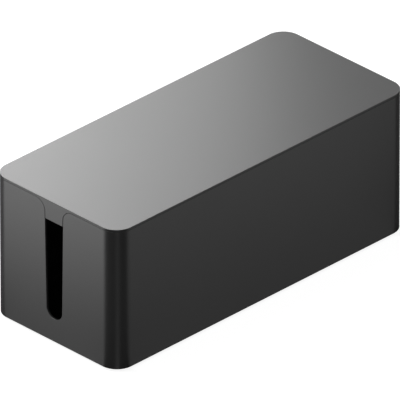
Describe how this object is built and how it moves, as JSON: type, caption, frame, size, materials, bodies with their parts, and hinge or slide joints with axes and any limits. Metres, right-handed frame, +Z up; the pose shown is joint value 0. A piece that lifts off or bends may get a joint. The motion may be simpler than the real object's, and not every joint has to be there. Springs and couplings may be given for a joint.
{
  "type": "cable management box",
  "caption": "Oblong lidded box that hides a power strip, with a tapered cable slot in each end, a lift-off lid whose tongues fill the slot tops, and rubber feet.",
  "frame": {"origin": "under the middle of the box, on the surface that its feet stand on", "axes": "+X along the box's length, +Y across it, +Z up through the lid"},
  "size_m": [0.322, 0.138, 0.127],
  "materials": {
    "black_plastic": "satin, fine spark-eroded texture",
    "foot_rubber": "matt",
    "adhesive": "matt acrylic adhesive"
  },
  "bodies": {
    "box": {"tub": "black_plastic", "foot_front_left": "foot_rubber", "foot_front_right": "foot_rubber", "foot_rear_left": "foot_rubber", "foot_rear_right": "foot_rubber", "foot_adhesive_front_left": "adhesive", "foot_adhesive_front_right": "adhesive", "foot_adhesive_rear_left": "adhesive", "foot_adhesive_rear_right": "adhesive"},
    "lid": {"lid": "black_plastic"}
  },
  "joints": [
    {"name": "lid_lift", "type": "slide", "parent": "box", "child": "lid", "axis": [0, 0, 1], "range_m": [0, 0.06]}
  ]
}
